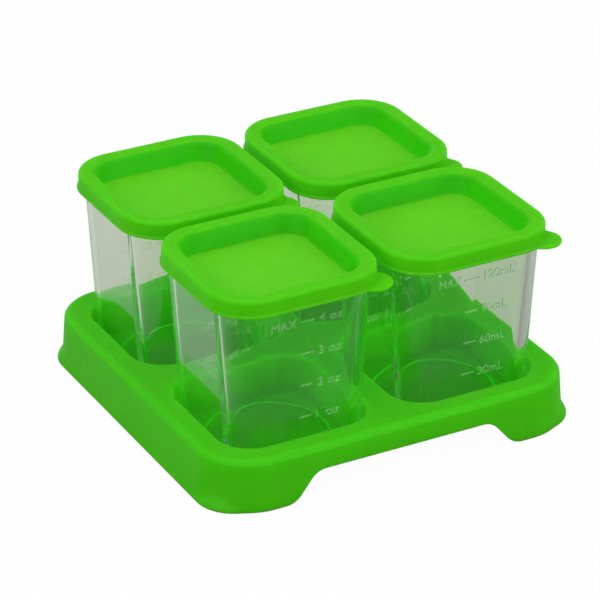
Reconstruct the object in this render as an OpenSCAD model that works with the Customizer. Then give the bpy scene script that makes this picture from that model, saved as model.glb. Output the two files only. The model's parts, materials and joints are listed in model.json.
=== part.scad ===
// Glass baby food storage cubes: four lidded glass cubes standing in a soft moulded tray.
// The origin is the middle of the base, +Z is up and the front is towards -Y.
// Every piece is a rounded square, drafted like the moulded original. Its corners turn about
// fixed centres, and the straight sides run from one corner centre to the next.

/* [Set] */
// Distance between neighbouring cubes, centre to centre
pitch = 68; // [67:0.5:76]
// Height of the pocket floors above the table
pocket_floor_z = 4.5; // [3.5:0.1:7]

/* [Glass] */
// Height of one glass
glass_h = 72; // [50:0.5:90]
// Outer width across the flat sides at the mouth, without the rim bead
glass_w = 59.5; // [57:0.1:60.5]
// Outer corner radius at the mouth
glass_corner_r = 14.25; // [13:0.05:16]
// Draft of the outer wall in degrees
glass_draft = 3.2; // [2:0.1:3.8]
// Draft of the inner wall in degrees
glass_inner_draft = 4.2; // [3.4:0.1:4.8]
// Wall thickness at the mouth
glass_wall = 2.9; // [2.4:0.1:3.2]
// Thickness of the glass floor
glass_floor = 4; // [3.6:0.1:7]
// Radius of the rounded outer edge round the base
glass_base_r = 3.6; // [1.5:0.1:4]
// Radius of the fillet where the inner wall meets the floor
glass_fillet_r = 3; // [2:0.1:6]
// Depth of the round hollow under the base
foot_hollow_depth = 0.8; // [0.3:0.1:1.2]
// Radius of the round hollow, inside the foot that the glass stands on
foot_hollow_r = 21; // [15:0.5:21.5]
// How far the rounded rim bead stands out of the outer wall
bead_out = 0.6; // [0.3:0.1:0.9]

/* [Measuring marks] */
// Height of the top line above the underside of the glass
mark_top_z = 60.2; // [42:0.1:62]
// Distance between two lines, one ounce or 30 millilitres
mark_step = 12.8; // [9:0.1:13]
// Number of lines on each scale
mark_count = 4; // [2:1:4]
// Length of a line
mark_length = 5; // [3:0.1:8]
// Height of a line
mark_line_h = 0.7; // [0.4:0.1:1]
// How far a line stands out of the glass
mark_out = 0.35; // [0.2:0.05:0.5]

/* [Lid] */
// Outer width of the lid over its side wall
lid_w = 63.6; // [63.2:0.1:64.4]
// Height from the lower edge of the skirt to the top of the rim
lid_skirt_h = 6.8; // [5.5:0.1:9]
// Thickness of the rim's top
lid_top_t = 1.4; // [1:0.1:2]
// Radius of the rim's outer edge
lid_edge_r = 1.4; // [1:0.1:1.8]
// Radius of the rim's inner edge, where it turns down into the recess
lid_recess_edge_r = 2.6; // [2:0.1:2.8]
// Width of the rim's flat crest
lid_crest_w = 2.6; // [2.4:0.1:3]
// Depth of the recessed panel below the rim
lid_recess_depth = 7.3; // [6:0.1:9]
// Slope of the recess wall in degrees
lid_recess_draft = 15; // [10:0.5:18]
// Radius of the fillet between the recess wall and the panel
lid_recess_fillet_r = 1; // [0.8:0.1:2]
// Thickness of the recess wall
lid_plug_wall = 1.1; // [0.8:0.1:1.2]
// Thickness of the panel
lid_panel_t = 1.3; // [1:0.1:2]
// Rise of the panel's crown in the middle
lid_crown = 1.2; // [0.4:0.1:1.6]
// How far the lower lip stands out of the skirt
lid_lip_out = 0.6; // [0.3:0.1:0.8]
// Height of the lower lip, and thickness of the tab
lid_lip_h = 1.1; // [0.8:0.1:1.6]
// Radius of the round pull tab at the corner
tab_r = 6.7; // [5:0.1:7]
// How far the tab reaches past the corner of the lip
tab_out = 5.7; // [4:0.1:5.8]

/* [Tray] */
// Width of the tray at its base, without the flared foot lip
tray_w = 146.4; // [145:0.1:160]
// Height of the tray's deck
tray_h = 20; // [18:0.5:26]
// Corner radius of the tray at its base
tray_corner_r = 21.2; // [17:0.1:24]
// Draft of the outer wall in degrees
tray_draft = 4.2; // [2:0.1:5]
// Wall thickness of the skirt and the deck
tray_wall = 2.2; // [1.6:0.1:2.6]
// Wall thickness of the pockets
pocket_wall = 2; // [1.4:0.1:2]
// Thickness of the pocket floors
pocket_base_t = 1.6; // [1.2:0.1:2]
// Radius of the fillet where a pocket's wall meets its floor
pocket_fillet_r = 4.2; // [3.5:0.1:4.6]
// Radius of the tray's top edge
tray_edge_r = 2.4; // [1.6:0.1:4]
// Radius of the tray's bottom edge and of its foot lip
foot_edge_r = 1.2; // [0.8:0.1:1.4]
// Radius of the edge round each pocket's mouth
pocket_edge_r = 1.6; // [1:0.1:2]
// Height of the arch in the front and in the back
arch_h = 10.5; // [7:0.1:13]
// Width of the arch's straight top
arch_top_w = 63.2; // [40:0.1:70]
// Radius of the arch's upper and lower curves
arch_r = 7.8; // [5:0.1:9]
// Slope of the arch's ends in degrees
arch_slope = 50; // [45:1:60]
// How far the foot lip flares out of the left and right walls
lip_out = 0.9; // [0.5:0.1:1.4]
// How far the lip's own front and back stay behind the walls, so that it fades out there
lip_tuck = 2.6; // [1.5:0.1:4]
// Corner radius of the lip
lip_corner_r = 14.9; // [13:0.1:17]
// Slope of the lip's flank in degrees
lip_slope = 31; // [24:1:40]
// Height of the flank above the lip's rounded edge
lip_flank_h = 5; // [4:0.1:6]

/* [Clearances] */
// Gap between a glass and the wall of its pocket
pocket_gap = 1.9; // [1:0.1:2.2]
// Gap between the rim bead and the lid's skirt
skirt_gap = 0.2; // [0.15:0.05:0.5]
// Gap under a seated glass, and between a glass rim and its seated lid
seat_gap = 0.1; // [0.05:0.05:0.2]

/* [Hidden] */
$fn = 96;

GREEN = [0.33, 0.75, 0.12];
CLEAR = [0.80, 0.88, 0.86, 0.4];
// Facets of a full circle where the curve is wide and nearly flat
flat_curve_fn = 1440;
// Distance that a cutting shape runs past the surface it cuts
over = 1;
// Half the pitch: the place of each cube along X and Y
place = pitch / 2;

// Corner centres of the glass and the lid, from the middle of a cube
glass_reach = glass_w / 2 - glass_corner_r;
// Distance from the corner centres to the outer and the inner glass wall at a height
function glass_out(z) = glass_corner_r - (glass_h - z) * tan(glass_draft);
function glass_in(z) = glass_corner_r - glass_wall - (glass_h - z) * tan(glass_inner_draft);
// The rim is one full round that takes in the wall and the bead
rim_r = (glass_wall + bead_out) / 2;
rim_z = glass_h - rim_r;
rim_u = glass_in(rim_z) + rim_r / cos(glass_inner_draft);
bead_u = rim_u + rim_r;

glass_z = pocket_floor_z + seat_gap;

// The lid's own heights start at the lower edge of the skirt
lid_z = glass_z + glass_h + seat_gap + lid_top_t - lid_skirt_h;
lid_out_u = lid_w / 2 - glass_reach;
lid_inner_u = bead_u + skirt_gap;
panel_z = lid_skirt_h - lid_recess_depth;
plug_z = panel_z - lid_panel_t;
recess_edge_u = lid_out_u - lid_edge_r - lid_crest_w;
recess_edge_z = lid_skirt_h - lid_recess_edge_r;
// Where the rounded inner edge of the rim runs into the sloping recess wall
recess_top = [
    recess_edge_u - lid_recess_edge_r * cos(lid_recess_draft),
    recess_edge_z + lid_recess_edge_r * sin(lid_recess_draft)
];
function recess_u(z) = recess_top[0] - (recess_top[1] - z) * tan(lid_recess_draft);
function plug_u(z) = recess_u(z) + lid_plug_wall / cos(lid_recess_draft);
fillet_z = panel_z + lid_recess_fillet_r;
fillet_u = recess_u(fillet_z) - lid_recess_fillet_r / cos(lid_recess_draft);
crown_r = glass_reach + fillet_u - over;
lip_corner = glass_reach * sqrt(2) + lid_out_u + lid_lip_out;
tab_centre = (lip_corner + tab_out - tab_r) / sqrt(2);

// The tray
tray_reach = tray_w / 2 - tray_corner_r;
deck_z = tray_h - tray_wall;
function tray_u(z) = tray_corner_r - z * tan(tray_draft);
// How far the pockets' rims run into the deck
deck_seam = tray_wall / 2;
pocket_z = pocket_floor_z - pocket_base_t;
function pocket_u(z) = glass_out(z - glass_z) + pocket_gap;
lip_reach_x = tray_w / 2 + lip_out - lip_corner_r;
lip_reach_y = tray_w / 2 - lip_tuck - lip_corner_r;
arch_top = arch_top_w / 2;
// The arch's lower curves dip below the table, so they meet the foot at an angle
arch_dip = 0.15;
arch_rise = arch_h + arch_dip - 2 * arch_r * (1 - cos(arch_slope));
arch_foot = arch_top + 2 * arch_r * sin(arch_slope) + arch_rise / tan(arch_slope);

// Sweeps a flat profile round a rounded rectangle. In the profile, X is the distance outwards
// from the corner centres and Y is the height.
module around(reach_x, reach_y) {
    for (turn = [0, 180]) rotate(turn) {
        translate([reach_x, 0, 0]) rotate([90, 0, 0])
            linear_extrude(2 * reach_y, center = true) children();
        translate([0, reach_y, 0]) rotate([90, 0, 90])
            linear_extrude(2 * reach_x, center = true) children();
        translate([reach_x, reach_y, 0]) rotate_extrude(angle = 90) children();
        translate([-reach_x, reach_y, 0]) rotate([0, 0, 90]) rotate_extrude(angle = 90) children();
    }
}

// Fills the rectangle between the corner centres from one height to another
module core(reach, z_low, z_high) {
    translate([-reach, -reach, z_low]) cube([2 * reach, 2 * reach, z_high - z_low]);
}

// The edge that a rounded mouth cuts away: the corner left of a circle whose crown is at the top
// and whose flank meets a wall that slopes inwards by the draft
module mouth_flare(centre, r, draft, left) {
    flank_z = centre[1] + r * sin(draft);
    difference() {
        polygon([
            [left, flank_z], [centre[0] - r * cos(draft), flank_z], centre,
            [centre[0], centre[1] + r + over], [left, centre[1] + r + over]
        ]);
        translate(centre) circle(r);
    }
}

// Outline of the outer glass wall, with its rounded base edge
module glass_outer_profile() {
    base_u = glass_out(glass_base_r) - glass_base_r / cos(glass_draft);
    polygon([
        [0, 0], [base_u, 0],
        [base_u + glass_base_r * cos(glass_draft), glass_base_r - glass_base_r * sin(glass_draft)],
        [glass_out(rim_z), rim_z], [0, rim_z]
    ]);
    translate([base_u, glass_base_r]) circle(glass_base_r);
}

// Outline of the space inside the glass, with the fillet round its floor
module glass_inner_profile() {
    fillet_z = glass_floor + glass_fillet_r;
    fillet_u = glass_in(fillet_z) - glass_fillet_r / cos(glass_inner_draft);
    flank = [
        fillet_u + glass_fillet_r * cos(glass_inner_draft),
        fillet_z - glass_fillet_r * sin(glass_inner_draft)
    ];
    polygon([
        [-over, glass_floor], [fillet_u, glass_floor], flank,
        [glass_in(rim_z + over), rim_z + over], [-over, rim_z + over]
    ]);
    translate([fillet_u, fillet_z]) circle(glass_fillet_r);
}

module glass_profile() {
    difference() {
        glass_outer_profile();
        glass_inner_profile();
    }
    translate([rim_u, rim_z]) circle(rim_r);
}

// One scale of raised lines on the side that faces -Y
module measuring_marks() {
    for (i = [0 : mark_count - 1]) {
        z = mark_top_z - i * mark_step;
        translate([0, -glass_reach - glass_out(z), z]) rotate([-glass_draft, 0, 0])
            cube([mark_length, 2 * mark_out, mark_line_h], center = true);
    }
}

// One glass cube with its hollow base, rounded rim and a scale on its front and on its back
module glass() {
    difference() {
        union() {
            around(glass_reach, glass_reach) glass_profile();
            core(glass_reach, 0, glass_floor);
        }
        translate([0, 0, -over]) cylinder(r = foot_hollow_r, h = over + foot_hollow_depth);
    }
    for (turn = [0, 180]) rotate(turn) measuring_marks();
}

// Outline of the lid before the recess and the rim's channel are cut
module lid_body_profile() {
    plug_r = lid_panel_t;
    square([lid_out_u, lid_skirt_h - lid_edge_r]);
    square([lid_out_u - lid_edge_r, lid_skirt_h]);
    translate([lid_out_u - lid_edge_r, lid_skirt_h - lid_edge_r]) circle(lid_edge_r);
    square([lid_out_u + lid_lip_out - lid_lip_h / 2, lid_lip_h]);
    translate([lid_out_u + lid_lip_out - lid_lip_h / 2, lid_lip_h / 2]) circle(lid_lip_h / 2);
    plug_round_u = plug_u(plug_z + plug_r) - plug_r / cos(lid_recess_draft);
    polygon([
        [0, plug_z], [plug_round_u, plug_z],
        [
            plug_round_u + plug_r * cos(lid_recess_draft),
            plug_z + plug_r - plug_r * sin(lid_recess_draft)
        ],
        [plug_u(over), over], [0, over]
    ]);
    translate([plug_round_u, plug_z + plug_r]) circle(plug_r);
}

// Outline of the recess in the top, from its filleted floor to its rounded mouth
module lid_recess_profile() {
    flank = [
        fillet_u + lid_recess_fillet_r * cos(lid_recess_draft),
        fillet_z - lid_recess_fillet_r * sin(lid_recess_draft)
    ];
    polygon([[-over, panel_z], [fillet_u, panel_z], flank, recess_top, [-over, recess_top[1]]]);
    translate([fillet_u, fillet_z]) circle(lid_recess_fillet_r);
    mouth_flare([recess_edge_u, recess_edge_z], lid_recess_edge_r, lid_recess_draft, -over);
}

// Outline of the channel under the rim that takes the rim of the glass
module lid_channel_profile() {
    channel_z = lid_skirt_h - lid_top_t;
    polygon([
        [plug_u(-over), -over], [lid_inner_u, -over],
        [lid_inner_u, channel_z], [plug_u(channel_z), channel_z]
    ]);
}

module lid_profile() {
    difference() {
        lid_body_profile();
        lid_recess_profile();
        lid_channel_profile();
    }
}

// The low crown in the middle of the panel
module lid_crown_cap() {
    sphere_r = (crown_r * crown_r + lid_crown * lid_crown) / (2 * lid_crown);
    translate([0, 0, panel_z]) rotate_extrude() intersection() {
        translate([0, lid_crown - sphere_r]) circle(sphere_r, $fn = flat_curve_fn);
        translate([0, -lid_panel_t / 2]) square([crown_r, lid_crown + lid_panel_t]);
    }
}

// The round pull tab, level with the lip, cut away where the glass stands
module lid_tab() {
    edge_r = lid_lip_h / 2;
    difference() {
        translate([tab_centre, -tab_centre, 0]) rotate_extrude() {
            square([tab_r - edge_r, lid_lip_h]);
            translate([tab_r - edge_r, edge_r]) circle(edge_r);
        }
        around(glass_reach, glass_reach) translate([0, -over]) square([lid_inner_u, lid_lip_h + 2 * over]);
        core(glass_reach, -over, lid_lip_h + over);
    }
}

module lid() {
    around(glass_reach, glass_reach) lid_profile();
    core(glass_reach, plug_z, panel_z);
    lid_crown_cap();
    lid_tab();
}

// Outline of the tray's outside, with its rounded top and bottom edges
module tray_outer_profile() {
    edge_z = tray_h - tray_edge_r;
    edge_u = tray_u(edge_z) - tray_edge_r / cos(tray_draft);
    foot_u = tray_u(foot_edge_r) - foot_edge_r / cos(tray_draft);
    polygon([
        [0, 0], [foot_u, 0],
        [foot_u + foot_edge_r * cos(tray_draft), foot_edge_r + foot_edge_r * sin(tray_draft)],
        [edge_u + tray_edge_r * cos(tray_draft), edge_z + tray_edge_r * sin(tray_draft)],
        [edge_u, tray_h], [0, tray_h]
    ]);
    translate([edge_u, edge_z]) circle(tray_edge_r);
    translate([foot_u, foot_edge_r]) circle(foot_edge_r);
}

// Outline of the open space under the tray
module tray_hollow_profile() {
    wall_u = tray_wall / cos(tray_draft);
    polygon([
        [0, -over], [tray_u(-over) - wall_u, -over],
        [tray_u(deck_z) - wall_u, deck_z], [0, deck_z]
    ]);
}

// Outline of the flared lip round the foot of the tray. Its flank runs on into the wall.
module foot_lip_profile() {
    polygon([
        [0, 0], [lip_corner_r - foot_edge_r, 0], [lip_corner_r, foot_edge_r],
        [lip_corner_r - lip_flank_h * tan(lip_slope), foot_edge_r + lip_flank_h],
        [0, foot_edge_r + lip_flank_h]
    ]);
    translate([lip_corner_r - foot_edge_r, foot_edge_r]) circle(foot_edge_r);
}

// Outline of one arch, seen from the front: straight on top, with an S curve down to each foot
module arch_profile() {
    turn = [arch_r * sin(arch_slope), arch_r * (1 - cos(arch_slope))];
    difference() {
        polygon([
            [-arch_foot, -over], [arch_foot, -over], [arch_foot, -arch_dip],
            [arch_foot - turn[0], turn[1] - arch_dip], [arch_top + turn[0], arch_h - turn[1]],
            [arch_top, arch_h], [-arch_top, arch_h],
            [-arch_top - turn[0], arch_h - turn[1]], [-arch_foot + turn[0], turn[1] - arch_dip],
            [-arch_foot, -arch_dip]
        ]);
        for (side = [-1, 1]) translate([side * arch_foot, arch_r - arch_dip]) circle(arch_r);
    }
    for (side = [-1, 1]) translate([side * arch_top, arch_h - arch_r]) circle(arch_r);
}

// Both arches, cut through the front and the back wall only
module arches() {
    depth = tray_wall + 3 * over;
    for (turn = [0, 180]) rotate(turn)
        translate([0, -tray_w / 2 - over + depth, 0]) rotate([90, 0, 0])
            linear_extrude(depth) arch_profile();
}

// Outline of a pocket's inside, or of its outside when it stands out by the wall: a floor, a fillet
// and the drafted side
module pocket_cup(out, floor_z, fillet_r, top_z, left) {
    centre = [pocket_u(floor_z + fillet_r) + out - fillet_r / cos(glass_draft), floor_z + fillet_r];
    polygon([
        [left, floor_z], [centre[0], floor_z],
        [centre[0] + fillet_r * cos(glass_draft), centre[1] - fillet_r * sin(glass_draft)],
        [pocket_u(top_z) + out, top_z], [left, top_z]
    ]);
    translate(centre) circle(fillet_r);
}

// Outline of one pocket, with the rounded mouth that overlaps the deck
module pocket_profile() {
    edge_z = tray_h - pocket_edge_r;
    edge_u = pocket_u(edge_z) + pocket_edge_r / cos(glass_draft);
    seam_z = deck_z + deck_seam;
    difference() {
        union() {
            pocket_cup(pocket_wall, pocket_z, pocket_fillet_r + pocket_wall, seam_z, 0);
            translate([0, seam_z]) square([edge_u + deck_seam, tray_h - seam_z]);
        }
        pocket_cup(0, pocket_floor_z, pocket_fillet_r, edge_z + pocket_edge_r * sin(glass_draft), -over);
        mouth_flare([edge_u, edge_z], pocket_edge_r, glass_draft, -over);
    }
}

module pocket() {
    around(glass_reach, glass_reach) pocket_profile();
    core(glass_reach, pocket_z, pocket_floor_z);
}

// The opening in the deck that one pocket fills
module deck_opening() {
    around(glass_reach, glass_reach) translate([0, deck_z - over])
        square([pocket_u(tray_h) + pocket_edge_r, tray_wall + 2 * over]);
    core(glass_reach, deck_z - over, tray_h + over);
}

// Puts a copy at each of the four places
module at_each_place() {
    for (x = [-place, place], y = [-place, place]) translate([x, y, 0]) children();
}

module tray() {
    color(GREEN) {
        difference() {
            union() {
                around(tray_reach, tray_reach) tray_outer_profile();
                core(tray_reach, 0, tray_h);
                around(lip_reach_x, lip_reach_y) foot_lip_profile();
            }
            around(tray_reach, tray_reach) tray_hollow_profile();
            core(tray_reach, -over, deck_z);
            arches();
            at_each_place() deck_opening();
        }
        at_each_place() pocket();
    }
}

// A glass at a place. The turn chooses which of its two scales faces the front.
module placed_glass(side_x, side_y, turn) {
    color(CLEAR) translate([side_x * place, side_y * place, glass_z]) rotate(turn) glass();
}

module placed_lid(side_x, side_y) {
    color(GREEN) translate([side_x * place, side_y * place, lid_z]) lid();
}

tray();
placed_glass(-1, -1, 0);  // glass_front_left
placed_glass(1, -1, 180);  // glass_front_right
placed_glass(-1, 1, 0);  // glass_back_left
placed_glass(1, 1, 180);  // glass_back_right
placed_lid(-1, -1);  // lid_front_left
placed_lid(1, -1);  // lid_front_right
placed_lid(-1, 1);  // lid_back_left
placed_lid(1, 1);  // lid_back_right
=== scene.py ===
"""Looks of a set of four lidded glass food cubes that stand in a soft moulded tray.

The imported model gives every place. Lengths are in millimetres unless a name says otherwise, and
a finished mesh becomes metres once, when its object is made. A section is drawn with u, the
distance outwards from the corner centres of a rounded square, and z, the height.
"""

import json
import logging
import math
from collections.abc import Iterable
from dataclasses import dataclass
from enum import Enum

import bmesh
import bpy
from bmesh.types import BMEdge, BMesh, BMFace, BMVert
from mathutils import Matrix, Vector

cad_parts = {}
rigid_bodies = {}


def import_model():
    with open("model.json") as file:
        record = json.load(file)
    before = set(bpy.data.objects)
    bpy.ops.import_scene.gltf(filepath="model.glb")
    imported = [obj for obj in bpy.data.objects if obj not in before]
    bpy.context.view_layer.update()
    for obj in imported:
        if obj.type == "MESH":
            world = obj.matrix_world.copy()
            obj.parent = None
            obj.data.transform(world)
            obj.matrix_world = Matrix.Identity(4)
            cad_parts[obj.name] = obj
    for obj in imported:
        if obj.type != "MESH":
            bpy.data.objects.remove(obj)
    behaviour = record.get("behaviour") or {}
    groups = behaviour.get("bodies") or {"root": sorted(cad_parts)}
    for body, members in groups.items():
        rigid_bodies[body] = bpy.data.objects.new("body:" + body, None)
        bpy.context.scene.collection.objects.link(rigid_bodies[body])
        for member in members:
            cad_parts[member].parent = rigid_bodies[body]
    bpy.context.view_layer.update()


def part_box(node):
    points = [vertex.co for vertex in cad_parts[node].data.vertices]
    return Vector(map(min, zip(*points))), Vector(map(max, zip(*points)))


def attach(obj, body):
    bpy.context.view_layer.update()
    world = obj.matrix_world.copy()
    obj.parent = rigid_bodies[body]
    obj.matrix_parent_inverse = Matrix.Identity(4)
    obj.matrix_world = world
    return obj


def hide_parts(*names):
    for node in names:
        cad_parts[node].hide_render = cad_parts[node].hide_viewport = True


MM = 0.001
# Points this close are one point, and a face this far out of the wall belongs to a mark
MERGE = 1e-3
PROUD = 0.02
# Edges sharper than these are shaded as edges, or are rounded on the lettering
SHARP_ANGLE = math.radians(40)
LETTER_EDGE_ANGLE = 1.0
# Measures of raw lettering, in the font's own units
FONT_DEPTH = 0.05
FONT_MERGE = 1e-5
FONT_NO_AREA = 1e-7

log = logging.getLogger("food_cubes")

Colour = tuple[float, float, float]


def smoothstep(t: float) -> float:
    """Eases from 0 to 1 as t goes from 0 to 1, with level ends."""
    t = min(max(t, 0.0), 1.0)
    return t * t * (3.0 - 2.0 * t)


def towards(angle: float) -> Vector:
    """The level direction at an angle from X."""
    return Vector((math.cos(angle), math.sin(angle)))


def slope(degrees: float) -> float:
    """The tangent of an angle in degrees."""
    return math.tan(math.radians(degrees))


class Place(Enum):
    """The four places in the tray, each with the sides of the tray's middle that it is on."""

    FRONT_LEFT = (-1, -1)
    FRONT_RIGHT = (1, -1)
    BACK_LEFT = (-1, 1)
    BACK_RIGHT = (1, 1)

    @property
    def word(self) -> str:
        """The place as node names spell it."""
        return self.name.lower()

    @property
    def turned(self) -> bool:
        """Whether the glass here shows its millilitre side to the front."""
        return self.value[0] > 0


@dataclass(frozen=True)
class Knot:
    """One corner of a section, with the radius and the fineness of its rounding."""

    u: float
    z: float
    radius: float = 0.0
    segments: int = 6


@dataclass(frozen=True)
class Stretch:
    """A straight part of a section that is cut into short lengths, named by its two heights."""

    low: float
    high: float
    cuts: int
    min_u: float = -math.inf


def draw_section(bm: BMesh, knots: list[Knot], stretches: Iterable[Stretch] = ()) -> list[BMEdge]:
    """Draws a section as a wire in the XZ plane, and rounds its corners.

    Args:
        bm: The mesh under construction, which holds no other loose edges.
        knots: The section's corners in order.
        stretches: Straight parts that need more points.

    Returns:
        The wire's edges.
    """
    verts = [bm.verts.new((knot.u, 0.0, knot.z)) for knot in knots]
    for pair in zip(verts, verts[1:]):
        bm.edges.new(pair)
    for before, knot, after, vert in zip(knots, knots[1:], knots[2:], verts[1:]):
        if knot.radius > 0.0:
            come = Vector((knot.u - before.u, knot.z - before.z))
            leave = Vector((after.u - knot.u, after.z - knot.z))
            run = knot.radius * math.tan(come.angle(leave) / 2.0)
            bmesh.ops.bevel(bm, geom=[vert], offset=run, offset_type="OFFSET", affect="VERTICES",
                            segments=knot.segments, profile=0.5, clamp_overlap=False, material=-1)
    for stretch in stretches:
        chosen = [edge for edge in bm.edges if edge.is_wire and lies_in(edge, stretch)]
        longest = max(chosen, key=BMEdge.calc_length)
        bmesh.ops.subdivide_edges(bm, edges=[longest], cuts=stretch.cuts)
    return [edge for edge in bm.edges if edge.is_wire]


def lies_in(edge: BMEdge, stretch: Stretch) -> bool:
    """Whether an edge of a section lies between a stretch's heights and outside its least u."""
    return all(
        stretch.low - MERGE <= vert.co.z <= stretch.high + MERGE and vert.co.x >= stretch.min_u
        for vert in edge.verts
    )


@dataclass(frozen=True)
class SquarePath:
    """A rounded square that a section is swept round, given by its corner centres."""

    reach: float
    corner_steps: int = 24
    side_steps: int = 1

    def u_at(self, spot: Vector) -> float:
        """A section's u at a point, which is seen from above."""
        x, y = abs(spot.x) - self.reach, abs(spot.y) - self.reach
        return math.hypot(x, y) if min(x, y) > 0.0 else max(x, y)

    def sweep(self, bm: BMesh, section: list[BMEdge]) -> None:
        """Sweeps a section once round the path.

        Args:
            bm: The mesh under construction.
            section: Loose edges in the XZ plane, with u along X.
        """
        verts = list(dict.fromkeys(vert for edge in section for vert in edge.verts))
        bmesh.ops.translate(bm, verts=verts, vec=(self.reach, self.reach, 0.0))
        geom = verts + section
        signs = [Vector((1, 1, 0)), Vector((-1, 1, 0)), Vector((-1, -1, 0)), Vector((1, -1, 0))]
        for here, there in zip(signs, signs[1:] + signs[:1]):
            geom = bmesh.ops.spin(bm, geom=geom, cent=here * self.reach, axis=(0, 0, 1),
                                  angle=math.pi / 2, steps=self.corner_steps)["geom_last"]
            edges = [item for item in geom if isinstance(item, BMEdge)]
            made = bmesh.ops.extrude_edge_only(bm, edges=edges)["geom"]
            geom = [item for item in made if not isinstance(item, BMFace)]
            moved = [item for item in geom if isinstance(item, BMVert)]
            bmesh.ops.translate(bm, verts=moved, vec=(there - here) * self.reach)
        bmesh.ops.remove_doubles(bm, verts=bm.verts, dist=MERGE)
        if self.side_steps > 1:
            sides = [edge for edge in bm.edges
                     if abs(edge.calc_length() - 2.0 * self.reach) < MERGE]
            bmesh.ops.subdivide_edges(bm, edges=sides, cuts=self.side_steps - 1)


def open_edges(bm: BMesh, z: float) -> list[BMEdge]:
    """The open edges of a mesh that lie level at a height."""
    return [edge for edge in bm.edges
            if edge.is_boundary and all(abs(vert.co.z - z) < MERGE for vert in edge.verts)]


def merged(bm: BMesh, other: BMesh) -> None:
    """Adds another mesh under construction to a mesh, and frees the other."""
    scratch = bpy.data.meshes.new("scratch")
    other.to_mesh(scratch)
    other.free()
    bm.from_mesh(scratch)
    bpy.data.meshes.remove(scratch)


def soften(bm: BMesh, edges: list[BMEdge], radius: float, segments: int) -> None:
    """Rounds some edges of a mesh."""
    bmesh.ops.bevel(bm, geom=edges, offset=radius, offset_type="OFFSET", affect="EDGES",
                    segments=segments, profile=0.5, material=-1)


def edges_above(bm: BMesh, z: float) -> list[BMEdge]:
    """The edges of a mesh that lie wholly above a height."""
    return [edge for edge in bm.edges if all(vert.co.z > z for vert in edge.verts)]


def fill_level(bm: BMesh, z: float, up: float) -> None:
    """Closes the openings of a mesh at a height with flat faces, which face up or down."""
    bmesh.ops.triangle_fill(bm, edges=open_edges(bm, z), use_beauty=True, normal=(0.0, 0.0, up))


def new_object(name: str, data: bpy.types.ID) -> bpy.types.Object:
    """Makes an object of the scene, which sits at the origin."""
    made = bpy.data.objects.new(name, data)
    bpy.context.scene.collection.objects.link(made)
    return made


def object_from(bm: BMesh, name: str) -> bpy.types.Object:
    """Turns a mesh under construction into an object of the scene, and frees the mesh."""
    mesh = bpy.data.meshes.new(name)
    bm.to_mesh(mesh)
    bm.free()
    return new_object(name, mesh)


def united(body: BMesh, addition: BMesh) -> BMesh:
    """Joins a closed mesh and one that grows out of it into a new one, and frees both."""
    objects = [object_from(bm, "scratch") for bm in (body, addition)]
    joint = objects[0].modifiers.new("union", "BOOLEAN")
    joint.operation = "UNION"
    joint.solver = "EXACT"
    joint.object = objects[1]
    graph = bpy.context.evaluated_depsgraph_get()
    result = bmesh.new()
    result.from_mesh(objects[0].evaluated_get(graph).data)
    for piece in objects:
        mesh = piece.data
        bpy.data.objects.remove(piece)
        bpy.data.meshes.remove(mesh)
    bmesh.ops.remove_doubles(result, verts=result.verts, dist=MERGE)
    return result


def piece_from(bm: BMesh, name: str, *materials: bpy.types.Material) -> bpy.types.Object:
    """Turns a finished mesh in millimetres into a smooth object in metres, and frees the mesh.

    Args:
        bm: The finished mesh.
        name: The name of the piece.
        *materials: Its finishes, in the order of its faces' material numbers.

    Returns:
        The new object, which sits at the origin.
    """
    bmesh.ops.scale(bm, verts=bm.verts, vec=(MM, MM, MM))
    for face in bm.faces:
        face.smooth = True
    for edge in bm.edges:
        edge.smooth = edge.calc_face_angle(0.0) < SHARP_ANGLE
    piece = object_from(bm, name)
    for material in materials:
        piece.data.materials.append(material)
    shading = piece.modifiers.new("even shading", "WEIGHTED_NORMAL")
    shading.keep_sharp = True
    log.info("%s: %d faces", name, len(piece.data.polygons))
    return piece


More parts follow.
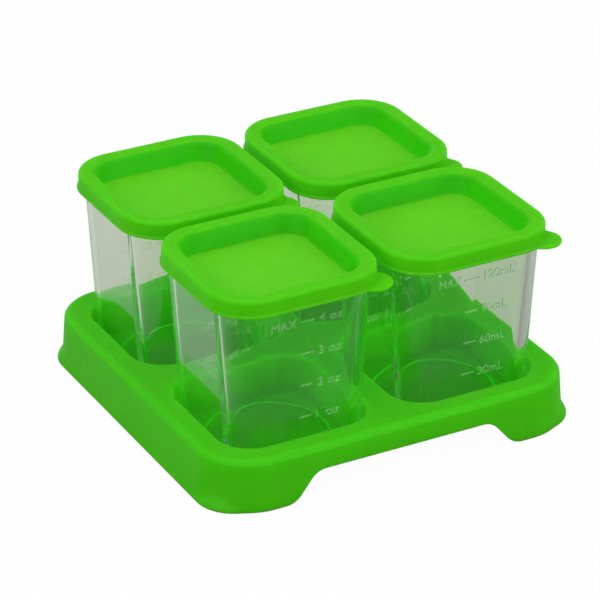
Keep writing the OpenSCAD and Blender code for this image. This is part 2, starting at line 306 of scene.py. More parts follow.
class NodeSketch:
    """The node tree of a material or a world, with short methods that add nodes and join them."""

    def __init__(self, owner: bpy.types.Material | bpy.types.World, output: str) -> None:
        """Starts an empty tree with an output node, given by its type name."""
        owner.use_nodes = True
        self.tree = owner.node_tree
        self.tree.nodes.clear()
        self.output = self.add(output)

    def add(self, kind: str, **settings: object) -> bpy.types.Node:
        """Adds a node, given by its type name and its properties."""
        node = self.tree.nodes.new(kind)
        for key, value in settings.items():
            setattr(node, key, value)
        return node

    def link(self, source: bpy.types.NodeSocket, target: bpy.types.NodeSocket) -> None:
        """Joins an output to an input."""
        self.tree.links.new(source, target)

    def calc(self, operation: str, value: bpy.types.NodeSocket,
             other: bpy.types.NodeSocket | float) -> bpy.types.NodeSocket:
        """Works out a value from two others, by an operation such as ADD."""
        node = self.add("ShaderNodeMath", operation=operation)
        self.link(value, node.inputs[0])
        if isinstance(other, float):
            node.inputs[1].default_value = other
        else:
            self.link(other, node.inputs[1])
        return node.outputs[0]

    def noise(self, grain: float, detail: float, roughness: float = 0.5) -> bpy.types.NodeSocket:
        """Adds a noise on Object coordinates.

        Args:
            grain: The size of its largest patches.
            detail: How many finer layers it has.
            roughness: How strong those are.

        Returns:
            Its value, from 0 to 1.
        """
        node = self.add("ShaderNodeTexNoise")
        node.inputs["Scale"].default_value = 1.0 / (grain * MM)
        node.inputs["Detail"].default_value = detail
        node.inputs["Roughness"].default_value = roughness
        self.link(self.add("ShaderNodeTexCoord").outputs["Object"], node.inputs["Vector"])
        return node.outputs["Fac"]

    def ranged(self, value: bpy.types.NodeSocket, low: float, high: float,
               start: float = 0.3, end: float = 0.7) -> bpy.types.NodeSocket:
        """Maps a value that runs from start to end to one that runs from low to high."""
        node = self.add("ShaderNodeMapRange")
        self.link(value, node.inputs["Value"])
        numbers = {"From Min": start, "From Max": end, "To Min": low, "To Max": high}
        for key, number in numbers.items():
            node.inputs[key].default_value = number
        return node.outputs["Result"]

    def blended(self, share: bpy.types.NodeSocket, first: Colour,
                second: Colour) -> bpy.types.NodeSocket:
        """Blends two colours, by the share of the second that shows."""
        node = self.add("ShaderNodeMix", data_type="RGBA")
        self.link(share, node.inputs["Factor"])
        node.inputs["A"].default_value = (*first, 1.0)
        node.inputs["B"].default_value = (*second, 1.0)
        return node.outputs["Result"]

    def bumped(self, height: bpy.types.NodeSocket, depth: float,
               under: bpy.types.NodeSocket | None = None) -> bpy.types.NodeSocket:
        """Adds a bump.

        Args:
            height: Its height map.
            depth: How deep the map's full range is.
            under: The bump that it lies on.

        Returns:
            The bent normal.
        """
        node = self.add("ShaderNodeBump")
        node.inputs["Strength"].default_value = 1.0
        node.inputs["Distance"].default_value = depth * MM
        self.link(height, node.inputs["Height"])
        if under is not None:
            self.link(under, node.inputs["Normal"])
        return node.outputs["Normal"]

    def finish(self, shader: bpy.types.Node, let_through: Colour) -> None:
        """Leads a shader to the output, with a tinted shadow instead of a black one.

        Args:
            shader: The shader.
            let_through: The light that passes each surface on the way from a lamp.
        """
        clear = self.add("ShaderNodeBsdfTransparent")
        clear.inputs["Color"].default_value = (*let_through, 1.0)
        mix = self.add("ShaderNodeMixShader")
        self.link(self.add("ShaderNodeLightPath").outputs["Is Shadow Ray"], mix.inputs["Fac"])
        self.link(shader.outputs["BSDF"], mix.inputs[1])
        self.link(clear.outputs["BSDF"], mix.inputs[2])
        self.link(mix.outputs["Shader"], self.output.inputs["Surface"])


@dataclass(frozen=True)
class SoftPlastic:
    """Satin soft plastic, moulded in one colour, with a fine grain and faint clouding."""

    name: str
    pale: Colour
    deep: Colour
    cloud: float = 9.0
    cloud_range: tuple[float, float] = (0.15, 0.6)
    speckle: float = 0.7
    speckle_range: tuple[float, float] = (0.0, 0.4)
    grain: float = 0.35
    grain_depth: float = 0.008
    roughness: float = 0.5
    roughness_spread: float = 0.07
    gloss: float = 0.12
    depth: Colour = (2.0, 14.0, 0.5)
    let_through: Colour = (0.22, 0.76, 0.1)

    def material(self) -> bpy.types.Material:
        """Builds the material, which is thin enough to let some of the lamps' light through."""
        material = bpy.data.materials.new(self.name)
        sketch = NodeSketch(material, "ShaderNodeOutputMaterial")
        shader = sketch.add("ShaderNodeBsdfPrincipled")
        clouds = sketch.ranged(sketch.noise(self.cloud, 4.0), *self.cloud_range)
        specks = sketch.ranged(sketch.noise(self.speckle, 3.0), *self.speckle_range)
        shade = sketch.calc("ADD", clouds, specks)
        sketch.link(sketch.blended(shade, self.pale, self.deep), shader.inputs["Base Color"])
        rough = sketch.noise(self.speckle * 2.0, 2.0)
        rough = sketch.ranged(rough, self.roughness - self.roughness_spread,
                              self.roughness + self.roughness_spread)
        sketch.link(rough, shader.inputs["Roughness"])
        grain = sketch.bumped(sketch.noise(self.grain, 2.0), self.grain_depth)
        sketch.link(grain, shader.inputs["Normal"])
        shader.inputs["Specular IOR Level"].default_value = self.gloss
        shader.inputs["Subsurface Weight"].default_value = 1.0
        shader.inputs["Subsurface Radius"].default_value = self.depth
        shader.inputs["Subsurface Scale"].default_value = MM
        sketch.finish(shader, self.let_through)
        return material


@dataclass(frozen=True)
class PressedGlass:
    """Clear pressed glass with a faint green body and slightly wavy faces."""

    name: str = "pressed_glass"
    frost: float = 0.0
    haze: float = 0.035
    ior: float = 1.5
    tint: Colour = (0.915, 0.975, 0.855)
    let_through: Colour = (0.955, 0.99, 0.955)
    wave: float = 16.0
    wave_depth: float = 0.05
    ripple: float = 2.5
    ripple_depth: float = 0.004

    def material(self) -> bpy.types.Material:
        """Builds the material, which lets the lamps' light through."""
        material = bpy.data.materials.new(self.name)
        sketch = NodeSketch(material, "ShaderNodeOutputMaterial")
        shader = sketch.add("ShaderNodeBsdfPrincipled")
        shader.inputs["Base Color"].default_value = (*self.tint, 1.0)
        shader.inputs["Transmission Weight"].default_value = 1.0 - self.frost
        shader.inputs["IOR"].default_value = self.ior
        haze = sketch.ranged(sketch.noise(self.ripple, 2.0), 0.0, self.haze)
        sketch.link(haze, shader.inputs["Roughness"])
        waves = sketch.bumped(sketch.noise(self.wave, 1.0), self.wave_depth)
        ripples = sketch.bumped(sketch.noise(self.ripple, 1.0), self.ripple_depth, waves)
        sketch.link(ripples, shader.inputs["Normal"])
        sketch.finish(shader, self.let_through)
        return material


@dataclass(frozen=True)
class Mark:
    """A raised mark of a measuring scale, by its ends and middle height. Without words, a line."""

    left: float
    right: float
    middle: float
    words: str = ""


@dataclass(frozen=True)
class GlassCube:
    """A square glass cup with a rounded rim, a hollow base and a scale on two of its sides."""

    reach: float = 15.5
    height: float = 72.0
    corner_r: float = 14.25
    draft: float = 3.2
    inner_draft: float = 4.2
    wall: float = 2.9
    floor: float = 4.0
    base_r: float = 3.6
    fillet_r: float = 3.0
    hollow_depth: float = 0.8
    hollow_r: float = 21.0
    support: float = 0.4
    bead_out: float = 0.6
    bead_h: float = 3.4
    bead_r: float = 0.5
    neck_h: float = 0.9
    neck_r: float = 0.8
    rim_flare: float = 0.15
    rim_flat: float = 0.02
    hollow_edge: float = 0.6
    mark_out: float = 0.35
    mark_root: float = 0.3
    line_h: float = 0.7
    line_r: float = 0.2
    letter_h: float = 3.4
    letter_bevel: float = 0.1
    letter_steps: int = 3
    top_line: float = 60.2
    line_step: float = 12.8
    label_rise: float = 0.6

    def outer(self, z: float) -> float:
        """The outer wall's u at a height."""
        return self.corner_r - (self.height - z) * slope(self.draft)

    def inner(self, z: float) -> float:
        """The inner wall's u at a height."""
        return self.corner_r - self.wall - (self.height - z) * slope(self.inner_draft)

    def shell(self) -> BMesh:
        """Builds the plain closed cup, with its foot at height 0."""
        rim_in = self.inner(self.height) - self.rim_flare
        bead_u = rim_in + self.wall + self.bead_out
        rim_r = (bead_u - rim_in - self.rim_flat) / 2.0
        bead_z = self.height - self.bead_h
        knots = [
            Knot(self.outer(0.0) - self.base_r - self.support, 0.0),
            Knot(self.outer(0.0), 0.0, self.base_r, 8),
            Knot(self.outer(bead_z - self.neck_h), bead_z - self.neck_h, self.neck_r, 4),
            Knot(bead_u, bead_z, self.bead_r, 3),
            Knot(bead_u, self.height, rim_r, 8),
            Knot(rim_in, self.height, rim_r, 8),
            Knot(self.inner(self.floor), self.floor, self.fillet_r, 10),
            Knot(0.0, self.floor),
        ]
        bm = bmesh.new()
        SquarePath(self.reach, corner_steps=32).sweep(bm, draw_section(bm, knots))
        bmesh.ops.edgeloop_fill(bm, edges=open_edges(bm, self.floor))
        merged(bm, self.round_hollow())
        fill_level(bm, 0.0, -1.0)
        bmesh.ops.recalc_face_normals(bm, faces=bm.faces)
        return bm

    def round_hollow(self) -> BMesh:
        """Builds the round hollow under the base, with its open mouth at height 0."""
        knots = [
            Knot(self.hollow_r + self.support, 0.0),
            Knot(self.hollow_r + self.support / 2.0, 0.0, self.hollow_edge, 4),
            Knot(self.hollow_r - self.hollow_edge, self.hollow_depth, self.hollow_edge, 4),
            Knot(0.0, self.hollow_depth),
        ]
        bm = bmesh.new()
        SquarePath(0.0, corner_steps=24).sweep(bm, draw_section(bm, knots))
        return bm

    def scales(self) -> tuple[list[Mark], list[Mark]]:
        """The marks of the front scale, in ounces, and of the back scale, in millilitres."""
        heights = [self.top_line - self.line_step * i for i in range(4)]
        first, *others = heights
        ounces = [Mark(-2.4, 2.2, z) for z in heights]
        ounces.append(Mark(-14.2, -4.6, first, "MAX"))
        ounces += [Mark(4.2, 13.2, z, f"{4 - i} oz") for i, z in enumerate(heights)]
        top = first + self.label_rise
        millilitres = [Mark(-6.6, -0.4, first)] + [Mark(-5.4, -0.6, z) for z in others]
        millilitres += [Mark(-16.6, -7.8, top, "MAX"), Mark(1.6, 14.0, top, "120mL")]
        millilitres += [Mark(1.2, 11.6, z, f"{90 - 30 * i}mL") for i, z in enumerate(others)]
        return ounces, millilitres

    def fit(self, bm: BMesh, mark: Mark, tall: float) -> None:
        """Stretches a drawn mark between its ends and moves it to its height, on the XY plane.

        Args:
            bm: The mark as drawn, in any size.
            mark: Its place.
            tall: Its height on the glass.
        """
        low = Vector(min(vert.co[axis] for vert in bm.verts) for axis in range(3))
        high = Vector(max(vert.co[axis] for vert in bm.verts) for axis in range(3))
        size = high - low
        thick = self.mark_out + self.mark_root
        depth = (self.mark_out - self.mark_root) / 2.0
        bmesh.ops.translate(bm, verts=bm.verts, vec=-(low + high) / 2.0)
        bmesh.ops.scale(bm, verts=bm.verts, vec=(
            (mark.right - mark.left) / size.x, tall / size.y, thick / size.z))
        bmesh.ops.translate(bm, verts=bm.verts, vec=(
            (mark.left + mark.right) / 2.0, mark.middle, depth))

    def flat_mark(self, bm: BMesh) -> None:
        """Moves a mark from the XY plane, where it was drawn at its height, onto the front face."""
        for vert in bm.verts:
            x, z, out = vert.co
            vert.co = Vector((x, -self.reach - self.outer(z) - out, z))

    def raised_line(self, mark: Mark) -> BMesh:
        """Builds one raised line with rounded edges, on the front face."""
        bm = bmesh.new()
        bmesh.ops.create_cube(bm, size=1.0)
        self.fit(bm, mark, self.line_h)
        soften(bm, edges_above(bm, 0.0), self.line_r, 3)
        self.flat_mark(bm)
        return bm

    def lettering(self, mark: Mark) -> BMesh:
        """Builds one mark's raised words with bevelled edges, on the front face."""
        curve = bpy.data.curves.new("lettering", "FONT")
        curve.body = mark.words
        curve.resolution_u = self.letter_steps
        curve.extrude = FONT_DEPTH
        text = new_object("lettering", curve)
        graph = bpy.context.evaluated_depsgraph_get()
        mesh = bpy.data.meshes.new_from_object(text.evaluated_get(graph))
        bm = bmesh.new()
        bm.from_mesh(mesh)
        bpy.data.objects.remove(text)
        bpy.data.curves.remove(curve)
        bpy.data.meshes.remove(mesh)
        bmesh.ops.remove_doubles(bm, verts=bm.verts, dist=FONT_MERGE)
        caps = [face for face in bm.faces
                if face.normal.z != 0.0 or face.calc_area() < FONT_NO_AREA]
        flat = set(caps)
        inside = [edge for edge in bm.edges if flat.issuperset(edge.link_faces)]
        bmesh.ops.beautify_fill(bm, faces=caps, edges=inside, method="AREA")
        self.fit(bm, mark, self.letter_h)
        rim = [edge for edge in edges_above(bm, 0.0)
               if edge.calc_face_angle(0.0) > LETTER_EDGE_ANGLE]
        soften(bm, rim, self.letter_bevel, 1)
        self.flat_mark(bm)
        return bm

    def marks(self) -> BMesh:
        """Builds both scales as one mesh."""
        everything = bmesh.new()
        for scale, turn in zip(self.scales(), (0.0, math.pi)):
            one = bmesh.new()
            for mark in scale:
                merged(one, self.lettering(mark) if mark.words else self.raised_line(mark))
            matrix = Matrix.Rotation(turn, 3, "Z")
            bmesh.ops.rotate(one, verts=one.verts, cent=(0, 0, 0), matrix=matrix)
            merged(everything, one)
        bmesh.ops.recalc_face_normals(everything, faces=everything.faces)
        return everything

    def build(self) -> BMesh:
        """Builds the closed cup with its marks, whose faces take the second material."""
        bm = united(self.shell(), self.marks())
        for face in bm.faces:
            spot = face.calc_center_median()
            proud = abs(spot.y) - self.reach - self.outer(spot.z) > PROUD
            face.material_index = int(proud and spot.z < self.height - 2.0 * self.bead_h)
        return bm

    def dress(self, *materials: bpy.types.Material) -> None:
        """Builds one glass at each place, with the finishes of the glass and of its marks."""
        pattern = self.build()
        for place in Place:
            node = f"glass_{place.word}"
            low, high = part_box(node)
            middle = (low + high) / 2.0 / MM
            bm = pattern.copy()
            turn = Matrix.Rotation(math.pi if place.turned else 0.0, 3, "Z")
            bmesh.ops.rotate(bm, verts=bm.verts, cent=(0, 0, 0), matrix=turn)
            bmesh.ops.translate(bm, verts=bm.verts, vec=(middle.x, middle.y, low.z / MM))
            piece = piece_from(bm, f"{node}_cup", *materials)
            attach(piece, node)
            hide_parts(node)
        pattern.free()


@dataclass(frozen=True)
class TabbedLid:
    """A soft lid with a rounded rim, a sunk crowned panel, and a round tab at one corner."""

    reach: float = 15.5
    out_u: float = 16.3
    skirt_h: float = 6.8
    top_t: float = 1.4
    edge_r: float = 1.5
    crest_w: float = 2.5
    recess_edge_r: float = 2.6
    recess_depth: float = 7.3
    recess_draft: float = 15.0
    recess_fillet_r: float = 1.0
    plug_wall: float = 1.1
    panel_t: float = 1.3
    crown: float = 1.2
    crown_reach: float = 21.3
    inner_u: float = 14.9
    lip_out: float = 0.6
    lip_h: float = 1.1
    lip_r: float = 0.53
    skirt_r: float = 0.3
    channel_r: float = 0.4
    tab_r: float = 6.7
    tab_out: float = 5.7
    neck_r: float = 1.8
    gate_r: float = 0.9
    gate_h: float = 0.18
    gate_edge_r: float = 0.12
    corner_steps: int = 48

    @property
    def panel_z(self) -> float:
        """The height of the panel's edge above the skirt's lower edge."""
        return self.skirt_h - self.recess_depth

    @property
    def plug_z(self) -> float:
        """The height of the panel's underside."""
        return self.panel_z - self.panel_t

    def recess_u(self, z: float) -> float:
        """The recess wall's u at a height."""
        edge_u = self.out_u - self.edge_r - self.crest_w
        turn = math.radians(90.0 - self.recess_draft)
        top_u = edge_u - self.recess_edge_r * math.tan(turn / 2.0)
        return top_u - (self.skirt_h - z) * slope(self.recess_draft)

    def plug_u(self, z: float) -> float:
        """The u of the recess wall's hidden side at a height."""
        return self.recess_u(z) + self.plug_wall / math.cos(math.radians(self.recess_draft))

    def shell(self) -> BMesh:
        """Builds the closed lid without its tab, with the skirt's lower edge at height 0."""
        channel_z = self.skirt_h - self.top_t
        lip_u = self.out_u + self.lip_out
        knots = [
            Knot(0.0, self.panel_z),
            Knot(self.recess_u(self.panel_z), self.panel_z, self.recess_fillet_r, 6),
            Knot(self.recess_u(self.skirt_h), self.skirt_h, self.recess_edge_r, 7),
            Knot(self.out_u, self.skirt_h, self.edge_r, 6),
            Knot(self.out_u, self.lip_h, self.skirt_r, 3),
            Knot(lip_u, self.lip_h, self.lip_r, 4),
            Knot(lip_u, 0.0, self.lip_r, 4),
            Knot(self.inner_u, 0.0, self.skirt_r, 2),
            Knot(self.inner_u, channel_z, self.channel_r, 2),
            Knot(self.plug_u(channel_z), channel_z, self.channel_r, 2),
            Knot(self.plug_u(self.plug_z), self.plug_z, self.panel_t, 4),
            Knot(0.0, self.plug_z),
        ]
        bm = bmesh.new()
        section = draw_section(bm, knots, [Stretch(self.panel_z, self.panel_z, 5)])
        SquarePath(self.reach, self.corner_steps, side_steps=14).sweep(bm, section)
        for z in (self.panel_z, self.plug_z):
            rails = [edge for edge in open_edges(bm, z)
                     if all(abs(vert.co.y) > self.reach - MERGE for vert in edge.verts)]
            bmesh.ops.grid_fill(bm, edges=rails, use_smooth=True)
        bmesh.ops.recalc_face_normals(bm, faces=bm.faces)
        return bm

    def crown_panel(self, bm: BMesh) -> None:
        """Raises the lid's panel into its low crown."""
        for vert in bm.verts:
            if abs(vert.co.z - self.panel_z) < MERGE:
                fall_x = max(0.0, 1.0 - (vert.co.x / self.crown_reach) ** 2)
                fall_y = max(0.0, 1.0 - (vert.co.y / self.crown_reach) ** 2)
                vert.co.z += self.crown * fall_x * fall_y

    def tab_outline(self, share: float) -> tuple[Vector, Vector]:
        """A point on the lip's edge with its tab, evenly spaced along a corner.

        The corner centre is the origin and the tab points along +X.

        Args:
            share: How far along the corner, from 0 to 1.

        Returns:
            The point and the outline's outward normal.
        """
        lip_r = self.out_u + self.lip_out
        tab_x = lip_r + self.tab_out - self.tab_r
        neck_x = (lip_r + self.neck_r) ** 2 - (self.tab_r + self.neck_r) ** 2 + tab_x ** 2
        neck = Vector((neck_x / (2.0 * tab_x), 0.0))
        neck.y = math.sqrt((lip_r + self.neck_r) ** 2 - neck.x ** 2)
        lip_end = math.atan2(neck.y, neck.x)
        tab_end = math.atan2(neck.y, neck.x - tab_x)
        lip_len = lip_r * (math.pi / 4.0 - lip_end)
        neck_len = self.neck_r * (tab_end - lip_end)
        half = lip_len + neck_len + self.tab_r * tab_end
        way = (1.0 - abs(2.0 * share - 1.0)) * half
        if way < lip_len:
            angle = math.pi / 4.0 - way / lip_r
            point = towards(angle) * lip_r
        elif way < lip_len + neck_len:
            angle = lip_end + (way - lip_len) / self.neck_r
            point = neck - towards(angle) * self.neck_r
        else:
            angle = tab_end - (way - lip_len - neck_len) / self.tab_r
            point = Vector((tab_x, 0.0)) + towards(angle) * self.tab_r
        outward = towards(angle)
        if share < 0.5:
            point.y, outward.y = -point.y, -outward.y
        return point, outward

    def pull_tab(self, bm: BMesh) -> None:
        """Draws the lip's edge out into the round tab at the corner between +X and -Y."""
        lip_r = self.out_u + self.lip_out
        to_tab = Matrix.Rotation(math.radians(45.0), 2)
        centre = Vector((self.reach, -self.reach))
        for vert in bm.verts:
            local = to_tab @ (vert.co.xy - centre)
            angle = math.atan2(local.y, local.x)
            depth = lip_r - local.length
            on_lip = depth < self.lip_r + MERGE and vert.co.z < self.lip_h + MERGE
            if abs(angle) < math.pi / 4.0 - MERGE and on_lip:
                point, outward = self.tab_outline(0.5 + angle / (math.pi / 2.0))
                vert.co.xy = centre + to_tab.transposed() @ (point - outward * depth)

    def gate_mark(self) -> BMesh:
        """Builds the low button that moulding leaves in the middle of the panel."""
        bm = bmesh.new()
        height = 2.0 * self.gate_h
        middle = self.panel_z + self.crown
        bmesh.ops.create_cone(bm, cap_ends=True, segments=20, radius1=self.gate_r,
                              radius2=self.gate_r, depth=height)
        bmesh.ops.translate(bm, verts=bm.verts, vec=(0.0, 0.0, middle))
        soften(bm, edges_above(bm, middle), self.gate_edge_r, 2)
        return bm

    def build(self) -> BMesh:
        """Builds the closed lid. Its recess takes the second material, a darker green of painted
        shade, and its panel the third, a paler green of painted light.
        """
        bm = self.shell()
        self.crown_panel(bm)
        self.pull_tab(bm)
        bm = united(bm, self.gate_mark())
        path = SquarePath(self.reach)
        fillet = self.recess_fillet_r * slope(45.0 - self.recess_draft / 2.0)
        panel_u = self.recess_u(self.panel_z) - fillet
        for face in bm.faces:
            spot = face.calc_center_median()
            u = path.u_at(spot)
            if spot.z > self.panel_z - MERGE:
                in_recess = u < self.recess_u(spot.z) + self.plug_wall / 2.0
                # Recess faces take the darker finish of painted shade; panel faces take the paler
                # finish of painted light.
                face.material_index = int(in_recess) + int(u < panel_u)
        return bm

    def dress(self, *materials: bpy.types.Material) -> None:
        """Builds one lid at each place, with the lid's finish, the recess's darker finish of
        painted shade and the panel's paler finish of painted light.
        """
        pattern = self.build()
        for place in Place:
            node = f"lid_{place.word}"
            low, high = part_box(f"glass_{place.word}")
            middle = (low + high) / 2.0 / MM
            base_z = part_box(node)[1].z / MM - self.skirt_h
            bm = pattern.copy()
            bmesh.ops.translate(bm, verts=bm.verts, vec=(middle.x, middle.y, base_z))
            piece = piece_from(bm, f"{node}_cover", *materials)
            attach(piece, node)
            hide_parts(node)
        pattern.free()


@dataclass(frozen=True)
class Tray:
    """A soft moulded tray with four deep pockets, a flared foot, and two arches."""

    width: float = 146.4
    height: float = 20.0
    corner_r: float = 21.2
    draft: float = 4.2
    wall: float = 2.2
    edge_r: float = 2.6
    foot_r: float = 1.0
    support: float = 0.8
    pitch: float = 68.0
    pocket_reach: float = 15.5
    pocket_u_top: float = 12.99
    pocket_draft: float = 3.2
    pocket_floor: float = 4.5
    pocket_wall: float = 2.0
    pocket_base: float = 1.6
    pocket_edge_r: float = 1.6
    pocket_fillet_r: float = 4.2
    arch_h: float = 10.5
    arch_top: float = 31.6
    arch_r: float = 7.8
    arch_slope: float = 50.0
    lip_x: float = 74.1
    lip_y: float = 70.6
    lip_corner_r: float = 14.9
    lip_z: float = 0.9
    lip_rise: float = 2.6
    lip_blend: float = 0.25
    lip_fade: float = 0.5
    waist_z: float = 8.0
    under_r: float = 1.5
    arch_margin: float = 2.0
    hidden_r: float = 1.0

    @property
    def reach(self) -> float:
        """The distance of the corner centres from the tray's middle, along X and Y."""
        return self.width / 2.0 - self.corner_r

    @property
    def under_z(self) -> float:
        """The height of the deck's underside."""
        return self.height - self.wall

    def outer(self, z: float) -> float:
        """The outer wall's u at a height."""
        return self.corner_r - z * slope(self.draft)

    def pocket(self, z: float) -> float:
        """The pocket wall's u at a height."""
        return self.pocket_u_top - (self.height - z) * slope(self.pocket_draft)

    @property
    def arch_bend(self) -> tuple[float, float]:
        """How far one rounding of the arch runs along X, and how far it falls."""
        turn = math.radians(self.arch_slope)
        return self.arch_r * math.sin(turn), self.arch_r * (1.0 - math.cos(turn))

    @property
    def arch_foot(self) -> float:
        """The distance from the middle at which the arch reaches the table."""
        run, fall = self.arch_bend
        return self.arch_top + 2.0 * run + (self.arch_h - 2.0 * fall) / slope(self.arch_slope)

    def arch(self, x: float) -> float:
        """The height of the arch's edge above the table, at a distance from the middle."""
        x = abs(x)
        bend_x, bend_z = self.arch_bend
        foot = self.arch_foot
        if x <= self.arch_top:
            return self.arch_h
        if x < self.arch_top + bend_x:
            rise = math.sqrt(self.arch_r ** 2 - (x - self.arch_top) ** 2)
            return self.arch_h - self.arch_r + rise
        if x < foot - bend_x:
            return self.arch_h - bend_z - (x - self.arch_top - bend_x) * slope(self.arch_slope)
        if x < foot:
            return self.arch_r - math.sqrt(self.arch_r ** 2 - (foot - x) ** 2)
        return 0.0

    def outside(self) -> BMesh:
        """Builds the open wall from the deck's edge round the foot to the deck's underside."""
        under_u = self.outer(self.under_z) - self.wall
        knots = [
            Knot(self.outer(self.height) - self.edge_r - self.support, self.height),
            Knot(self.outer(self.height), self.height, self.edge_r, 8),
            Knot(self.outer(self.waist_z), self.waist_z),
            Knot(self.outer(0.0), 0.0, self.foot_r, 5),
            Knot(self.outer(0.0) - self.wall, 0.0, self.foot_r, 5),
            Knot(under_u, self.under_z, self.under_r, 4),
            Knot(under_u - self.under_r - self.support, self.under_z),
        ]
        mid_u = self.outer(self.height / 2.0) - self.wall / 2.0
        stretches = [
            Stretch(self.waist_z, self.height, 6, mid_u),
            Stretch(0.0, self.waist_z, 12, mid_u),
            Stretch(0.0, self.under_z, 14),
        ]
        bm = bmesh.new()
        SquarePath(self.reach, 28, side_steps=104).sweep(bm, draw_section(bm, knots, stretches))
        return bm

    def cut_arches(self, bm: BMesh) -> None:
        """Draws the foot of the front and back walls up into the arches, along their slope."""
        fixed = 2.0 * self.foot_r
        free = self.under_z - self.arch_margin
        for vert in bm.verts:
            rise = self.arch(vert.co.x) if abs(vert.co.y) > self.reach else 0.0
            if rise > 0.0 and vert.co.z < free and abs(vert.co.x) < self.reach:
                share = min(1.0, (free - vert.co.z) / (free - fixed))
                vert.co.z += rise * share
                vert.co.y -= math.copysign(rise * share * slope(self.draft), vert.co.y)

    def lip(self, x: float, y: float) -> float:
        """How far the foot flares out of the wall.

        Args:
            x: A place on the wall, along X.
            y: The same, along Y.

        Returns:
            The distance, outwards from the wall.
        """
        x, y = abs(x), abs(y)
        if x <= self.reach:
            return 0.0
        if y <= self.reach:
            return self.lip_x - self.width / 2.0
        way = Vector((x - self.reach, y - self.reach)).normalized()
        to_side = (self.lip_x - self.reach) / max(way.x, MERGE)
        if self.reach + way.y * to_side > self.lip_y - self.lip_corner_r:
            inset = Vector((1.0, 1.0)) * (self.lip_corner_r + self.reach)
            centre = Vector((self.lip_x, self.lip_y)) - inset
            along = centre.dot(way)
            aside = centre.length_squared - along ** 2
            to_side = along + math.sqrt(max(self.lip_corner_r ** 2 - aside, 0.0))
        past = to_side - self.corner_r
        return (past + math.hypot(past, self.lip_blend)) / 2.0

    def flare_foot(self, bm: BMesh) -> None:
        """Draws the foot of the outer wall out into its soft lip."""
        for vert in bm.verts:
            flat = vert.co.xy
            hold = Vector(math.copysign(min(abs(c), self.reach), c) for c in flat)
            out = flat - hold
            inner = out.length < self.outer(vert.co.z) - self.wall / 2.0
            if inner or vert.co.z > self.height / 2.0:
                continue
            reach = self.lip(*flat)
            if reach > 0.0:
                rise = self.lip_rise * reach + self.lip_fade
                fade = 1.0 - smoothstep((vert.co.z - self.lip_z) / rise)
                vert.co.xy += out.normalized() * reach * fade

    def pockets(self) -> BMesh:
        """Builds the inside of the four pockets and their hidden outside.

        Returns:
            The open mesh, with its mouths on the deck and on the deck's underside.
        """
        mouth = self.pocket(self.height)
        inside = [
            Knot(mouth + self.pocket_edge_r + self.support, self.height),
            Knot(mouth, self.height, self.pocket_edge_r, 6),
            Knot(self.pocket(self.pocket_floor), self.pocket_floor, self.pocket_fillet_r, 8),
            Knot(0.0, self.pocket_floor),
        ]
        low_z = self.pocket_floor - self.pocket_base
        rim = self.pocket(self.under_z) + self.pocket_wall
        hidden = [
            Knot(rim + self.hidden_r + self.support / 2.0, self.under_z),
            Knot(rim, self.under_z, self.hidden_r, 3),
            Knot(self.pocket(low_z) + self.pocket_wall, low_z,
                 self.pocket_fillet_r + self.pocket_wall, 8),
            Knot(0.0, low_z),
        ]
        bm = bmesh.new()
        for place in Place:
            for knots in (inside, hidden):
                one = bmesh.new()
                SquarePath(self.pocket_reach, 24).sweep(one, draw_section(one, knots))
                bmesh.ops.edgeloop_fill(one, edges=open_edges(one, knots[-1].z))
                middle = Vector((*place.value, 0.0)) * self.pitch / 2.0
                bmesh.ops.translate(one, verts=one.verts, vec=middle)
                merged(bm, one)
        return bm

    def build(self) -> BMesh:
        """Builds the whole closed tray."""
        bm = self.outside()
        self.cut_arches(bm)
        self.flare_foot(bm)
        merged(bm, self.pockets())
        fill_level(bm, self.height, 1.0)
        fill_level(bm, self.under_z, -1.0)
        bmesh.ops.recalc_face_normals(bm, faces=bm.faces)
        return bm

    def dress(self, material: bpy.types.Material) -> None:
        """Builds the tray in its place, with its finish."""
        piece = piece_from(self.build(), "tray_body", material)
        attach(piece, "tray")
        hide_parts("tray")


@dataclass(frozen=True)
class View:
    """The camera of the photograph's view, round a target on the object."""

    azimuth: float = -28.277
    elevation: float = 27.548
    distance: float = 1212.43
    lens: float = 198.39
    target: Vector = Vector((2.926, 11.684, 29.143))
    sensor: float = 36.0
    clip_end: float = 20.0

    def place_camera(self) -> None:
        """Makes the camera and looks through it."""
        across, up = math.radians(self.azimuth), math.radians(self.elevation)
        back = Vector((math.sin(across) * math.cos(up), -math.cos(across) * math.cos(up),
                       math.sin(up)))
        data = bpy.data.cameras.new("camera")
        data.lens = self.lens
        data.sensor_width = self.sensor
        data.clip_end = self.clip_end
        camera = new_object("camera", data)
        camera.location = (self.target + back * self.distance) * MM
        camera.rotation_euler = (-back).to_track_quat("-Z", "Y").to_euler()
        bpy.context.scene.camera = camera


@dataclass(frozen=True)
class Lamp:
    """A soft rectangular lamp, in metres, that faces the object."""

    name: str
    place: tuple[float, float, float]
    width: float
    height: float
    power: float
    aim: tuple[float, float, float] = (0.0, 0.0, 0.04)

    def hang(self) -> None:
        """Makes the lamp, which the glass reflects but doesn't show behind it."""
        data = bpy.data.lights.new(self.name, "AREA")
        data.shape = "RECTANGLE"
        data.size, data.size_y = self.width, self.height
        data.energy = self.power
        lamp = new_object(self.name, data)
        lamp.location = self.place
        to_object = Vector(self.aim) - lamp.location
        lamp.rotation_euler = to_object.to_track_quat("-Z", "Y").to_euler()
        lamp.visible_transmission = False


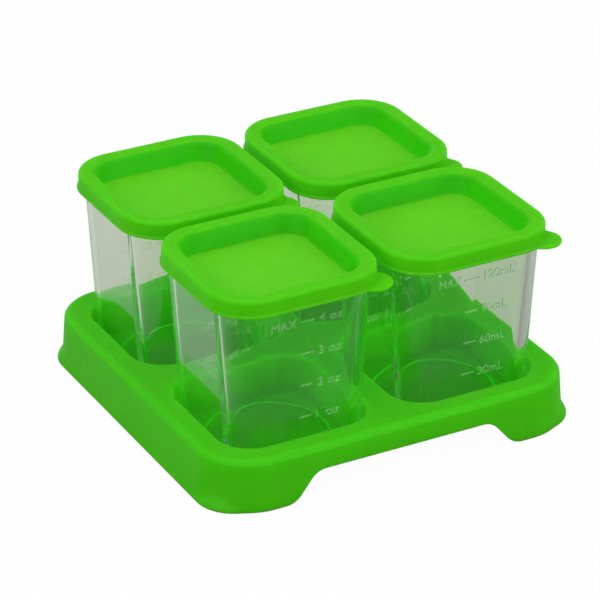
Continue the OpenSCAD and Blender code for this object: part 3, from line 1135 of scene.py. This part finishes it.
@dataclass(frozen=True)
class Studio:
    """The pale floor, the white surroundings and the soft lamps.

    The camera sees a white background. Glass shows it darker, as the photograph's does.
    """

    floor_half: float = 6.0
    floor_drop: float = 0.0001
    floor_colour: float = 0.35
    floor_glow: float = 0.93
    glow_power: float = 1.04
    fill: float = 0.55
    low_sky: float = 0.45
    high_sky: float = 0.1
    sky_range: tuple[float, float] = (0.1, 0.4)
    through_glass: float = 0.34
    front_gloss: float = 0.18
    back_gloss: float = 0.6
    gloss_range: tuple[float, float] = (-0.12, 0.05)
    bounces: int = 48
    lamps: tuple[Lamp, ...] = (
        Lamp("top_lamp", (-0.1, -0.3, 1.3), 1.2, 1.2, 6.5),
        Lamp("left_lamp", (-1.2, -0.5, 0.6), 0.5, 0.9, 6.0),
        Lamp("right_lamp", (1.1, -0.8, 0.7), 0.25, 0.9, 3.0),
        Lamp("back_lamp", (-0.4, 1.5, 0.9), 2.0, 0.9, 2.6),
        Lamp("front_lamp", (0.5, -1.5, 0.3), 1.0, 0.4, 5.0),
    )

    def lay_floor(self) -> None:
        """Makes the floor, whose colour is lifted towards white but keeps the object's shadow."""
        material = bpy.data.materials.new("floor")
        sketch = NodeSketch(material, "ShaderNodeOutputMaterial")
        matte = sketch.add("ShaderNodeBsdfDiffuse")
        matte.inputs["Color"].default_value = (*[self.floor_colour] * 3, 1.0)
        path = sketch.add("ShaderNodeLightPath")
        mirrored = sketch.calc("MINIMUM", path.outputs["Glossy Depth"], 1.0)
        way = sketch.add("ShaderNodeSeparateXYZ")
        sketch.link(sketch.add("ShaderNodeTexCoord").outputs["Object"], way.inputs["Vector"])
        dimming = sketch.ranged(way.outputs["Y"], self.glow_power - self.front_gloss,
                                self.glow_power - self.back_gloss, *self.gloss_range)
        dimming = sketch.calc("MULTIPLY", mirrored, dimming)
        power = sketch.ranged(dimming, self.glow_power, 0.0, 0.0, self.glow_power)
        glow = sketch.add("ShaderNodeEmission")
        sketch.link(power, glow.inputs["Strength"])
        share = sketch.calc("MULTIPLY", path.outputs["Is Camera Ray"], self.floor_glow)
        through = sketch.calc("MULTIPLY", path.outputs["Is Transmission Ray"], self.through_glass)
        share = sketch.calc("MAXIMUM", sketch.calc("MAXIMUM", share, through), mirrored)
        mix = sketch.add("ShaderNodeMixShader")
        sketch.link(share, mix.inputs["Fac"])
        sketch.link(matte.outputs["BSDF"], mix.inputs[1])
        sketch.link(glow.outputs["Emission"], mix.inputs[2])
        sketch.link(mix.outputs["Shader"], sketch.output.inputs["Surface"])
        bm = bmesh.new()
        bmesh.ops.create_grid(bm, x_segments=1, y_segments=1, size=self.floor_half)
        bmesh.ops.translate(bm, verts=bm.verts, vec=(0.0, 0.0, -self.floor_drop))
        floor = object_from(bm, "floor")
        floor.data.materials.append(material)

    def light_world(self) -> None:
        """Makes the surroundings: white for the camera, and paler low down in the glass."""
        world = bpy.data.worlds.new("studio")
        bpy.context.scene.world = world
        sketch = NodeSketch(world, "ShaderNodeOutputWorld")
        path = sketch.add("ShaderNodeLightPath")
        way = sketch.add("ShaderNodeSeparateXYZ")
        sketch.link(sketch.add("ShaderNodeTexCoord").outputs["Generated"], way.inputs["Vector"])
        sky = sketch.ranged(way.outputs["Z"], self.low_sky, self.high_sky, *self.sky_range)
        seen = sketch.calc("MAXIMUM", path.outputs["Is Transmission Ray"],
                           path.outputs["Is Glossy Ray"])
        seen = sketch.calc("SUBTRACT", seen, path.outputs["Diffuse Depth"])
        seen = sketch.calc("GREATER_THAN", seen, 0.5)
        change = sketch.calc("MULTIPLY", sketch.calc("SUBTRACT", sky, self.fill), seen)
        strength = sketch.calc("ADD", change, self.fill)
        strength = sketch.calc("MAXIMUM", strength, path.outputs["Is Camera Ray"])
        background = sketch.add("ShaderNodeBackground")
        background.inputs["Color"].default_value = (1.0, 1.0, 1.0, 1.0)
        sketch.link(strength, background.inputs["Strength"])
        sketch.link(background.outputs["Background"], sketch.output.inputs["Surface"])

    def set_up(self) -> None:
        """Makes the whole studio."""
        self.lay_floor()
        self.light_world()
        for lamp in self.lamps:
            lamp.hang()
        scene = bpy.context.scene
        scene.view_settings.view_transform = "Standard"
        scene.cycles.max_bounces = self.bounces
        scene.cycles.glossy_bounces = self.bounces
        scene.cycles.transmission_bounces = self.bounces


def main() -> None:
    """Builds the set and its studio."""
    logging.basicConfig(level=logging.INFO, format="%(name)s: %(message)s")
    for leftover in list(bpy.data.objects):
        bpy.data.objects.remove(leftover)
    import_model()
    lid = SoftPlastic("lid_plastic", (0.085, 0.56, 0.003), (0.065, 0.50, 0.001))
    # The recess copy is a darker, deeper green than the lid: painted shade on the recess walls,
    # which lie in shadow.
    recess = SoftPlastic("lid_recess_plastic", (0.045, 0.54, 0.001), (0.03, 0.48, 0.0005))
    # The panel copy is a paler green than the lid: painted light on the sunk panel, which faces the
    # lamps.
    panel = SoftPlastic("lid_panel_plastic", (0.125, 0.58, 0.014), (0.10, 0.52, 0.009))
    tray = SoftPlastic("tray_plastic", (0.064, 0.52, 0.003), (0.050, 0.47, 0.002))
    Tray().dress(tray.material())
    raised = PressedGlass("raised_glass", frost=0.1, haze=0.1)
    GlassCube().dress(PressedGlass().material(), raised.material())
    TabbedLid().dress(lid.material(), recess.material(), panel.material())
    View().place_camera()
    Studio().set_up()


if __name__ == "__main__":
    main()
